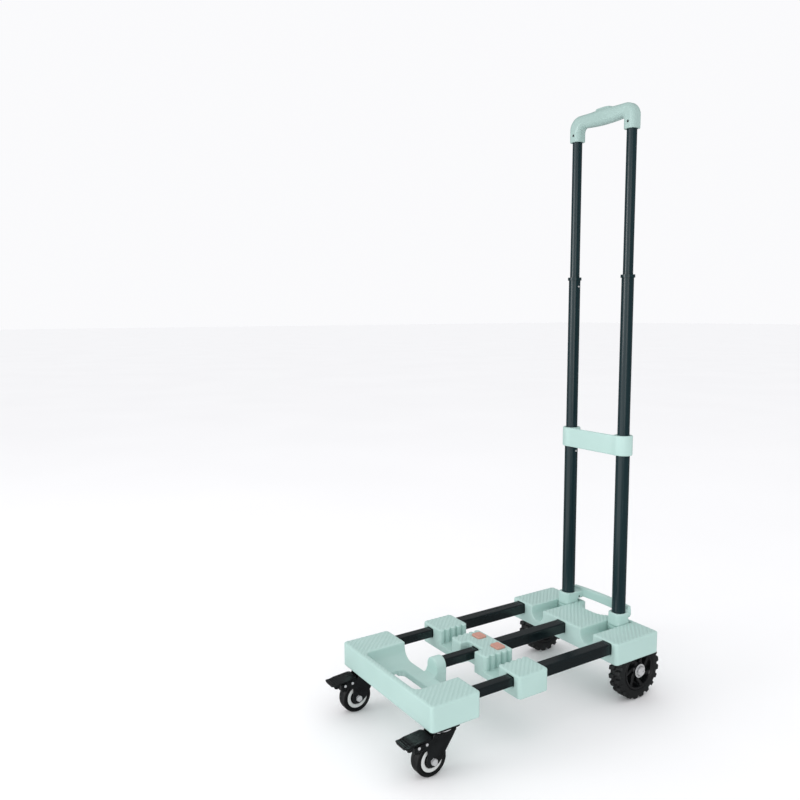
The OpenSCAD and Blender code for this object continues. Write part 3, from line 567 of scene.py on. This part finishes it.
# %% Release buttons
def make_button(side):
    """Rounded block whose top sinks by a shallow parabola, with fine slanting grooves."""
    low, high = station(f"release_button_{side}")
    cx, cy = (low[0] + high[0]) / 2, (low[1] + high[1]) / 2

    def field(x, y, z):
        """The button's rounded block, with its dished and grooved top."""
        dish = 0.5 * np.clip(1 - ((x - cx) / 9) ** 2 - ((y - cy) / 8) ** 2, 0, 1)
        dish = dish + 0.35 * (0.5 + 0.5 * np.cos(2 * np.pi * (x + y) / math.sqrt(2) / 3.1))
        return prism(rounded(x, y, low[0], high[0], low[1], high[1], 3.0), z, low[2], high[2] - dish, 1.2)

    made, quads = net(field, low, high, 0.6)
    put(f"release_key_{side}", made, quads, coral, "release_button_" + side,
        (f"release_button_{side}",))


make_button("left")
make_button("right")

# %% [markdown]
# **Yoke.** The handle's foot: two rounded sockets on round knuckles, and a bar
# that bows backwards between them. The bar's centre line is a parabola, and its
# distance is divided by the curve's slope so that its thickness stays even.

# %% Yoke
yoke_low, yoke_high = station("yoke")
LOWER_BORE = 11.55  # radius of the holes that the lower tubes sit in
SOCKET_HALF = 13.5
KNUCKLE = 13.0  # radius of the knuckles, and half the width of what lies between them and the sockets
BAR_Y = 380.0  # station of the bar's middle


def yoke_field(x, y, z):
    """Two sockets and knuckles joined with a bowed bar, minus the tube, pin and screw holes."""
    ax = np.abs(x)
    plan = rounded(ax, y, TUBE_X - SOCKET_HALF, TUBE_X + SOCKET_HALF, HINGE_Y - 14.7, HINGE_Y + 14.7, 8.0)
    socket = prism(plan, z, 105.0, 127.0, 1.8)
    knuckle = prism(disc(y, z, HINGE_Y, HINGE_Z, KNUCKLE), ax, TUBE_X - KNUCKLE, TUBE_X + KNUCKLE, 1.0)
    neck = rounded(ax, y, TUBE_X - KNUCKLE, TUBE_X + KNUCKLE, HINGE_Y - KNUCKLE, HINGE_Y + KNUCKLE, 2.0)
    neck = prism(neck, z, HINGE_Z, 110.0, 0.5)
    body = join(socket, join(knuckle, neck, 1.0), 1.5)
    flange = prism(rounded(ax, y, TUBE_X - SOCKET_HALF, 66.0, HINGE_Y + 4, HINGE_Y + 26, 5.0),
                   z, 113.2, 126.5, 2.0)
    body = join(body, flange, 2.5)
    bow = 4.0 * (x / TUBE_X) ** 2
    slope = 8.0 * x / TUBE_X ** 2
    line = (y - BAR_Y + bow) / np.sqrt(1 + slope * slope)
    bar = prism(rounded(line, z, -4.5, 4.5, 116.2, 133.0, 2.4), x, -66.0, 66.0, 3.0)
    body = join(body, bar, 4.0)
    body = cut(body, prism(disc(ax, y, TUBE_X, HINGE_Y, LOWER_BORE), z, 108.0, 200.0, 0.1), 0.9)
    body = cut(body, prism(disc(y, z, HINGE_Y, HINGE_Z, HINGE_HOLE), ax, 30.0, 90.0, 0.1), 0.6)
    return cut(body, prism(disc(y, z, HINGE_Y + 15, 117.0, 1.7), ax, 42.0, 48.4, 0.1), 0.3)


points, faces = net(yoke_field, (yoke_low[0], yoke_low[1], yoke_low[2]), (yoke_high[0], 386.0, 134.0), 0.85)
put("yoke_skin", points, faces, mint, "handle", ("yoke",))

# %% [markdown]
# **Collar bracket.** Two collars at the lower tubes' tops, joined by a plate in
# front that keeps the tubes apart. Collars and plate run into each other with a
# soft fillet, and each collar has a thin lip inside at the top.

# %% Collar bracket
bracket_low, bracket_high = station("collar_bracket")


def bracket_field(x, y, z):
    """Two upright cylinders joined with a plate, minus the tubes' bores."""
    ax = np.abs(x)
    collar = disc(ax, y, TUBE_X, HINGE_Y, 15.5)
    plate = rounded(x, y, -TUBE_X, TUBE_X, HINGE_Y - 15.5, HINGE_Y - 11.5, 1.0)
    body = prism(join(collar, plate, 5.0), z, bracket_low[2], bracket_high[2], 1.6)
    body = cut(body, prism(disc(ax, y, TUBE_X, HINGE_Y, LOWER_BORE), z, 300.0, bracket_high[2] - 2, 0.1), 0.8)
    return cut(body, prism(disc(ax, y, TUBE_X, HINGE_Y, 10.3), z, 400.0, 500.0, 0.1), 1.0)


points, faces = net(bracket_field, bracket_low, bracket_high, 0.9)
put("collar_bracket_skin", points, faces, mint, "handle", ("collar_bracket",))

# %% [markdown]
# **Grip.** A wide hand grip with a nearly oval section, round shoulders and a
# little belly below the bar where the fingers close. The section comes from
# carrying the front outline through its depth with a large rim radius.

# %% Grip
grip_low, grip_high = station("grip")
cap_low, cap_high = station("grip_button")


def grip_face(x, z):
    """Front outline: a rounded rectangle with a slight hump, minus the window, whose upper edge sags."""
    hump = 2.0 * np.clip(1 - (x / 34) ** 2, 0, 1) ** 2
    outer = rounded(x, z, grip_low[0], grip_high[0], 860.0, grip_high[2] - 1.2 + 0.5 * hump, 22.0)
    belly = 3.0 * np.clip(1 - (x / 46) ** 2, 0, 1)
    window = rounded(x, z, -48.25, 48.25, 800.0, 956.0 - belly, 7.5)
    return cut(outer, window, 0.5)


def grip_field(x, y, z):
    """The outline carried through the depth with a wide rim, minus bores, the key's hole and the cavity."""
    ax = np.abs(x)
    body = prism(grip_face(x, z), y, grip_low[1], grip_high[1], 8.0)
    body = cut(body, z - grip_low[2], 1.6)
    body = cut(body, prism(disc(ax, y, TUBE_X, HINGE_Y, 8.4), z, 900.0, 950.2, 0.1), 0.9)
    cavity = prism(rounded(ax, y, -1, 65, HINGE_Y - 5, HINGE_Y + 5, 0.5), z, 956.5, 966.5, 0.1)
    hole = prism(rounded(x, y, -16.5, 16.5, HINGE_Y - 6.5, HINGE_Y + 6.5, 4.4), z, 966.0, 1000.0, 0.1)
    body = cut(body, cavity, 0.2)
    body = cut(body, hole, 0.8)
    return cut(body, prism(disc(ax, z, TUBE_X, 945.0, 2.1), y, 300.0, HINGE_Y - 8.0, 0.1), 0.4)


points, faces = net(grip_field, grip_low, (grip_high[0], grip_high[1], cap_high[2]), 0.72)
put("grip_skin", points, faces, mint_grip, "handle_upper", ("grip",))


def cap_field(x, y, z):
    """The grip's key: rounded cap with a low crown, on its stem and cross bar."""
    crown = 0.9 * np.clip((x / 15) ** 2, 0, 1)
    cap = prism(rounded(x, y, cap_mid - 16, cap_mid + 16, HINGE_Y - 6, HINGE_Y + 6, 4.0),
                z, 975.0, cap_high[2] - crown, 1.2)
    stem = prism(rounded(x, y, -13, 13, HINGE_Y - 4, HINGE_Y + 4, 0.6), z, 964.0, 976.0, 0.3)
    bar = prism(rounded(x, y, -63.5, 63.5, HINGE_Y - 4, HINGE_Y + 4, 0.6), z, 961.0, 965.0, 0.4)
    return join(cap, join(stem, bar, 0.5), 0.5)


cap_mid = (cap_low[0] + cap_high[0]) / 2
points, faces = net(cap_field, cap_low, cap_high, 0.7)
put("grip_key", points, faces, mint_grip, "grip_button", ("grip_button",))

# %% [markdown]
# **Rear tyres.** A chunky tyre with twenty lugs. It is one closed grid: one way
# round the wheel, the other way round the tyre's section. The lugs are a smooth
# square wave of the angle that lifts only the tread, and the outer half is
# turned by half a lug against the inner half, as on a real tread.

# %% Rear tyres
LUGS = 20
LUG_HEIGHT = 4.6


def section(x0, x1, r0, r1, corner, count):
    """Closed profile round a rounded rectangle, with points spread evenly along it."""
    w, h = (x1 - x0) / 2 - corner, (r1 - r0) / 2 - corner
    parts = []
    for centre, start in (((w, h), 0), ((-w, h), 90), ((-w, -h), 180), ((w, -h), 270)):
        a = np.radians(np.linspace(start, start + 90, 12))
        parts.append(np.stack([centre[0] + corner * np.cos(a), centre[1] + corner * np.sin(a)], axis=1))
    ring = np.concatenate(parts + [parts[0][:1]])
    along = np.concatenate([[0], np.cumsum(np.linalg.norm(np.diff(ring, axis=0), axis=1))])
    even = np.linspace(0, along[-1], count, endpoint=False)
    x = np.interp(even, along, ring[:, 0]) + (x0 + x1) / 2
    r = np.interp(even, along, ring[:, 1]) + (r0 + r1) / 2
    return x, r


def turned(x, r, angle, y0, z0):
    """Points at radius r and angle about an axle along x through y0, z0."""
    x, r, angle = np.broadcast_arrays(x, r, angle)
    return np.stack([x, y0 + r * np.cos(angle), z0 + r * np.sin(angle)], axis=-1)


def make_tyre(side):
    """Section times angle, with the tread lifted where a smoothed square wave of the angle is high."""
    low, high = station(f"rear_tyre_{side}")
    outer_r = (high[2] - low[2]) / 2
    x, r = section(low[0], high[0], 33.0, outer_r - LUG_HEIGHT, 3.5, 84)
    angle = np.linspace(0, 2 * np.pi, LUGS * 26, endpoint=False)[:, None]
    across = (x - (low[0] + high[0]) / 2) / ((high[0] - low[0]) / 2)
    shift = 0.25 * np.tanh(6 * across) * np.pi * 2 / LUGS + 0.05 * across
    wave = np.cos(LUGS * (angle + shift))
    lug = 1 / (1 + np.exp(-12 * (wave + 0.05)))
    tread = np.clip((r - (outer_r - 11.0)) / 5.0, 0, 1) ** 1.2
    seam = 1 - 0.75 * np.exp(-(across / 0.06) ** 2)
    lifted = r + LUG_HEIGHT * lug * tread * seam
    points, faces = wrap(turned(x + 0 * angle, lifted, angle, axle_y, axle_z))
    put(f"rear_tyre_{side}_skin", points, faces, rubber, "rear_wheel_" + side,
        (f"rear_tyre_{side}",))


make_tyre("left")
make_tyre("right")

# %% [markdown]
# **Rear hubs.** Black plastic wheels with seven curved spokes between a rim band
# and a round hub. A spoke's centre line sweeps with the radius, so the distance
# to it is the radius times the angle left over after the nearest spoke.

# %% Rear hubs
SPOKES = 7


def make_hub(side):
    """Rim band, hub and swept spokes joined, with the axle's bore."""
    low, high = station(f"rear_hub_{side}")
    sign = 1 if side == "right" else -1
    tyre_low, tyre_high = station(f"rear_tyre_{side}")
    outer, inner = max(abs(tyre_low[0]), abs(tyre_high[0])), min(abs(tyre_low[0]), abs(tyre_high[0]))

    def field(x, y, z):
        """The hub's distance, worked out in turns about the axle."""
        out = sign * x
        r = np.hypot(y - axle_y, z - axle_z)
        angle = np.arctan2(z - axle_z, y - axle_y)
        band = prism(np.abs(r - 30.9) - 2.0, out, inner + 1.0, outer - 1.0, 0.8)
        sweep = 0.55 * np.sin(np.clip((r - 10) / 21, 0, 1) * np.pi / 2)
        left_over = (angle - sweep + np.pi / SPOKES) % (2 * np.pi / SPOKES) - np.pi / SPOKES
        flat = np.maximum(np.abs(r * left_over) * 0.85 - 2.3 - 1.2 * np.exp(-(r - 10) / 6), r - 31)
        spoke = prism(flat, out, inner + 5.0, outer - 3.5, 1.0)
        boss = prism(r - 12.0, out, 93.6, outer - 0.8, 1.0)
        cup = prism(r - 9.6, out, outer - 2.2, outer + 9, 0.2)
        body = join(join(band, spoke, 3.0), boss, 3.0)
        return cut(cut(body, cup, 0.6), r - AXLE_HOLE, 0.5)

    made, quads = net(field, low, high, 0.9)
    put(f"rear_hub_{side}_skin", made, quads, wheel_plastic, "rear_wheel_" + side,
        (f"rear_hub_{side}",))


make_hub("left")
make_hub("right")

# %% [markdown]
# **Axle bolts.** Each wheel hangs on a flanged hexagon bolt. A hexagon turned
# round an axle is a radius that changes with the angle: the flat's distance over
# the cosine of the angle left over from the nearest flat. The chamfer is the
# smaller of that radius and a cone.

# %% Axle bolts
def make_bolt(side):
    """Shank, dished flange and chamfered hexagon head as one grid of profile times angle."""
    sign = 1 if side == "right" else -1
    face = max(abs(v[0]) for v in station(f"rear_tyre_{side}"))
    profile = [(-49, 0.2), (-49, 4), (0.05, 4), (0.05, 11.0), (0.4, 11.5), (0.9, 11.5), (1.5, 10.6),
               (0.9, 9.6), (0.9, 8.6), (1.3, 8.4), (3.4, 8.2), (4.6, 7.2), (5.0, 6.2), (4.4, 4.2), (4.2, 0.2)]
    x, r = np.array(fine(profile, 0.4)).T
    angle = np.linspace(0, 2 * np.pi, 96, endpoint=False)[:, None]
    flat = 7.0 / np.cos((angle + np.pi / 6) % (np.pi / 3) - np.pi / 6)
    radius = np.where((x > 1.2) & (r > 5), np.minimum(r, flat), r)
    points, faces = wrap(turned(sign * (face + x) + 0 * angle, radius, angle, axle_y, axle_z))
    put(f"axle_bolt_{side}", points, faces, zinc, "rear_section", ("rear_axle_bolts",))


def fine(profile, step=0.5):
    """The same closed profile with extra points along each straight run."""
    ends = profile[1:] + profile[:1]
    out = []
    for (x0, r0), (x1, r1) in zip(profile, ends):
        count = max(1, int(math.hypot(x1 - x0, r1 - r0) / step))
        out += [(x0 + (x1 - x0) * k / count, r0 + (r1 - r0) * k / count) for k in range(count)]
    return out


make_bolt("left")
make_bolt("right")

# %% [markdown]
# **Casters.** Stamped forks with slanting legs, soft black tyres on a black core
# with a pale ring, and a steel tread pedal in front that works the brake. Tyre,
# ring and core are turned profiles. The fork and the pedal are flat outlines
# given a thickness, as the stamping die would.

# %% Caster wheels
def lathe(name, profile, centre, finish, body, replaces=(), turns=72):
    """A closed profile of (x, radius) carried round the axle."""
    x, r = np.array(profile, float).T
    angle = np.linspace(0, 2 * np.pi, turns, endpoint=False)[:, None]
    points, faces = wrap(turned(centre[0] + x + 0 * angle, r + 0 * angle, angle, centre[1], centre[2]))
    return put(name, points, faces, finish, body, replaces)


def make_caster_wheel(side):
    """Tyre with a soft shoulder, pale ring proud of the core's face, and a black core with its hub."""
    low, high = station(f"caster_tyre_{side}")
    centre = ((low[0] + high[0]) / 2, (low[1] + high[1]) / 2, (low[2] + high[2]) / 2)
    radius = (high[2] - low[2]) / 2
    half = (high[0] - low[0]) / 2
    body = "caster_wheel_" + side
    x, r = section(-half, half, radius - 6.1, radius, 3.0, 72)
    dip = 0.35 * np.exp(-((np.abs(x) - 4.0) / 0.8) ** 2) * (r > radius - 1)
    lathe(f"caster_tyre_{side}_skin", list(zip(x, r - dip)), centre, caster_rubber, body,
          (f"caster_tyre_{side}",), 96)
    core = [(-8.3, 19.0), (8.3, 19.0), (8.3, 17.9), (6.6, 17.2), (6.6, 8.4), (9.9, 6.2),
            (9.9, 3.1), (-9.9, 3.1), (-9.9, 6.2), (-6.6, 8.4), (-6.6, 17.2), (-8.3, 17.9)]
    lathe(f"caster_core_{side}_skin", fine(core), centre, wheel_plastic, body,
          (f"caster_core_{side}",))
    for face in (-1, 1):
        ring = [(face * 6.2, 17.8), (face * 7.9, 17.8), (face * 8.4, 17.2), (face * 8.4, 12.6),
                (face * 7.9, 12.0), (face * 6.2, 12.0)]
        where = "outer" if face * centre[0] > 0 else "inner"
        lathe(f"caster_ring_{side}_{where}", fine(ring, 0.4), centre, pale_ring, body, ())


make_caster_wheel("left")
make_caster_wheel("right")

# %% Caster forks and pedals
SWIVEL_Y = -54.0
CASTER_Y = -76.0
CASTER_Z = 25.0
PEDAL_PIN = (-87.0, 53.0)  # station and height of the pin that the pedal turns on
STOP_PIN = (-100.0, 51.5)  # the same for the pin that limits how far it turns
PIN_HOLE = 1.7


def make_fork(side):
    """Two slanting legs and a crown, joined with soft bends, minus the axle and pin holes."""
    low, high = station(f"caster_fork_{side}")
    cx = (low[0] + high[0]) / 2
    leg_corners = [(-37, 63), (-40, 55), (-56, 33), (-61, 24), (-67, 20), (-85, 25), (-85, 42), (-92, 45),
                   (-107, 46.5), (-107, 53.3), (-77, 58.3), (-74, 63)]

    def field(x, y, z):
        """The fork's distance, the same on both sides of its middle."""
        ax = np.abs(x - cx)
        side_view = join(outline(y, z, leg_corners), disc(y, z, CASTER_Y, CASTER_Z, 9.3), 5.0)
        leg = prism(side_view, ax, 10.2, 12.4, 0.7)
        crown = prism(rounded(x, y, cx - 12.4, cx + 12.4, -74, -37, 0.6), z, 59.0, 63.0, 0.6)
        body = join(leg, crown, 1.6)
        for hy, hz, hr in ((CASTER_Y, CASTER_Z, 3.1), (*PEDAL_PIN, PIN_HOLE), (*STOP_PIN, PIN_HOLE)):
            body = cut(body, prism(disc(y, z, hy, hz, hr), ax, 5.0, 20.0, 0.1), 0.3)
        return cut(body, prism(disc(x, y, cx, SWIVEL_Y, 4.1), z, 50.0, 70.0, 0.1), 0.3)

    made, quads = net(field, low, high, 0.62)
    put(f"caster_fork_{side}_skin", made, quads, powder_coat, "caster_" + side,
        (f"caster_fork_{side}",))


def make_pedal(side):
    """A bent tread plate with rounded corners and pressed ribs, on its web and brake shoe."""
    low, high = station(f"caster_pedal_{side}")
    cx = (low[0] + high[0]) / 2
    tip = low[1]
    shoe_corners = [(-83, 60), (-83, 50.3), (-91, 48.5), (-95, 46), (-99, 41), (-104, 41), (-107, 59)]

    def field(x, y, z):
        """The pedal's distance, the same on both sides of its middle."""
        ax = np.abs(x - cx)
        slant = np.interp(y, [tip, tip + 3, tip + 8, tip + 15, -78.0], [59.8, 57.8, 57.0, 59.0, 61.5])
        groove = 0.5 * (0.5 + 0.5 * np.cos(2 * np.pi * (y - tip - 3) / 4.0)) ** 2
        groove = groove * (y < tip + 15) * (ax < 11.0)
        plate = prism(rounded(x, y, cx - 14, cx + 14, tip, -78.0, 6.0), z, slant - 2.4, slant - groove, 0.6)
        roll = prism(disc(y, z, tip + 3.4, 56.4, 2.8), ax, -10.0, 10.0, 2.0)
        skirt_side = [(tip + 3, 57), (tip + 5, 52), (tip + 9, 50.5), (tip + 13, 52), (tip + 15.3, 57)]
        skirt = prism(outline(y, z, skirt_side), ax, 12.0, 13.8, 0.6)
        plate = join(plate, join(roll, skirt, 1.5), 1.5)
        shoe = prism(outline(y, z, shoe_corners), ax, -9.8, 9.8, 0.6)
        body = join(plate, shoe, 1.2)
        body = cut(body, prism(disc(y, z, *PEDAL_PIN, PIN_HOLE), ax, -1.0, 20.0, 0.1), 0.3)
        return cut(body, prism(disc(y, z, *STOP_PIN, 3.3), ax, -1.0, 20.0, 0.1), 0.3)

    made, quads = net(field, low, high, 0.62)
    put(f"caster_pedal_{side}_skin", made, quads, powder_coat, "caster_brake_" + side,
        (f"caster_pedal_{side}",))


for side in ("left", "right"):
    make_fork(side)
    make_pedal(side)

# %% [markdown]
# **Frame pieces that stay.** Tubes, rails, plates, pins, rivets, screws and
# springs already have their real shape, so each only gets its finish in the
# material slots of its object.

# %% Finishes on the frame's own pieces
stays = {
    tube_paint: ["lower_tube_left", "lower_tube_right", "middle_tube_left", "middle_tube_right",
                 "upper_tube_left", "upper_tube_right", "middle_tube_collars"],
    rail_paint: ["front_rail", "rear_rail"],
    powder_coat: ["caster_plate"],
    wheel_plastic: ["glides"],
    dark_screw: ["yoke_screws", "grip_screws"],
    zinc: ["rivets", "race", "kingpin", "caster_axle", "caster_pins", "rail_screws", "block_screws",
           "spring", "hinge_pins", "axle_nuts", "release_rods"],
}
given = set()
for finish, words in stays.items():
    for name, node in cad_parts.items():
        if any(word in name for word in words):
            given.add(name)
            for place in node.material_slots:
                place.material = finish
print("frame pieces finished:", len(given))

# %% [markdown]
# **Studio.** A plain, nearly white floor and a bright even surround, with a wide
# soft lamp low in front on the left, one low on the right and a weak one above.
# Glossy finishes see the surround as dark with one soft bright zone, which draws
# a narrow streak along the tubes instead of an even grey. The floor is matt and
# is left out of mirrored rays for the same reason.

# %% Floor, surround and lamps
def make_floor():
    """One large square, far wider than the cart."""
    mesh = bpy.data.meshes.new("studio_floor")
    reach_out = 40.0
    mesh.from_pydata([(-reach_out, -reach_out, 0), (reach_out, -reach_out, 0), (reach_out, reach_out, 0),
                      (-reach_out, reach_out, 0)], [], [(0, 1, 2, 3)])
    material, shader = new_finish("studio_floor", 0.7)
    tone = ramp(material, grain(material, 1.5, 1.0), (0.95, 0.95, 0.955), (0.965, 0.965, 0.97))
    material.node_tree.links.new(tone, shader.inputs["Base Color"])
    shader.inputs["Specular IOR Level"].default_value = 0.0
    mesh.materials.append(material)
    floor = bpy.data.objects.new("studio_floor", mesh)
    floor.visible_glossy = False
    bpy.context.scene.collection.objects.link(floor)


def lamp(name, place, target, size, power):
    """A square soft white lamp at place, facing target."""
    data = bpy.data.lights.new(name, "AREA")
    data.shape = "SQUARE"
    data.size = size
    data.energy = power
    item = bpy.data.objects.new(name, data)
    bpy.context.scene.collection.objects.link(item)
    item.location = place
    item.rotation_euler = (Vector(target) - Vector(place)).to_track_quat("-Z", "Y").to_euler()


ZONE_EDGE = 0.68  # cosine of the angle at which the bright zone begins
ZONE_CORE = 0.92  # cosine of the angle at which it is at full strength


def make_surround(even, dark, bright):
    """An even white surround, which glossy finishes see as dark with one soft bright zone.

    The zone's strength follows the dot product of a ray's direction and the zone's.
    Strength = even + glossy * (zone - even), where glossy is 1 for a mirrored ray.
    """
    surround = bpy.data.worlds.new("studio_surround")
    surround.use_nodes = True
    nodes, links = surround.node_tree.nodes, surround.node_tree.links
    toward = bpy.context.scene.camera.rotation_euler.to_quaternion() @ Vector((-0.85, 0.0, 0.5))
    toward.z = 0.0
    coordinate = nodes.new("ShaderNodeTexCoord")
    facing = nodes.new("ShaderNodeVectorMath")
    facing.operation = "DOT_PRODUCT"
    facing.inputs[1].default_value = toward.normalized()
    zone = nodes.new("ShaderNodeMapRange")
    zone.interpolation_type = "SMOOTHSTEP"
    limits = {"From Min": ZONE_EDGE, "From Max": ZONE_CORE, "To Min": dark - even, "To Max": bright - even}
    for socket, value in limits.items():
        zone.inputs[socket].default_value = value
    path = nodes.new("ShaderNodeLightPath")
    total = nodes.new("ShaderNodeMath")
    total.operation = "MULTIPLY_ADD"
    total.inputs[2].default_value = even
    links.new(coordinate.outputs["Generated"], facing.inputs[0])
    links.new(facing.outputs["Value"], zone.inputs["Value"])
    links.new(path.outputs["Is Glossy Ray"], total.inputs[0])
    links.new(zone.outputs["Result"], total.inputs[1])
    links.new(total.outputs["Value"], nodes["Background"].inputs["Strength"])
    nodes["Background"].inputs["Color"].default_value = (0.985, 0.985, 1.0, 1.0)
    bpy.context.scene.world = surround


make_floor()
lamp("key_lamp", (-0.7, -2.3, 0.9), (0.0, 0.0, 0.3), 0.9, 12.5)
lamp("fill_lamp", (2.3, -1.5, 0.7), (0.0, 0.0, 0.3), 1.4, 13.5)
lamp("top_lamp", (0.2, 0.4, 3.0), (0.0, 0.0, 0.0), 1.6, 3.0)
make_surround(0.975, 0.24, 1.6)
bpy.context.scene.view_settings.view_transform = "Standard"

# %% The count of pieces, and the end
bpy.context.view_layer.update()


print("pieces:", len(pieces))
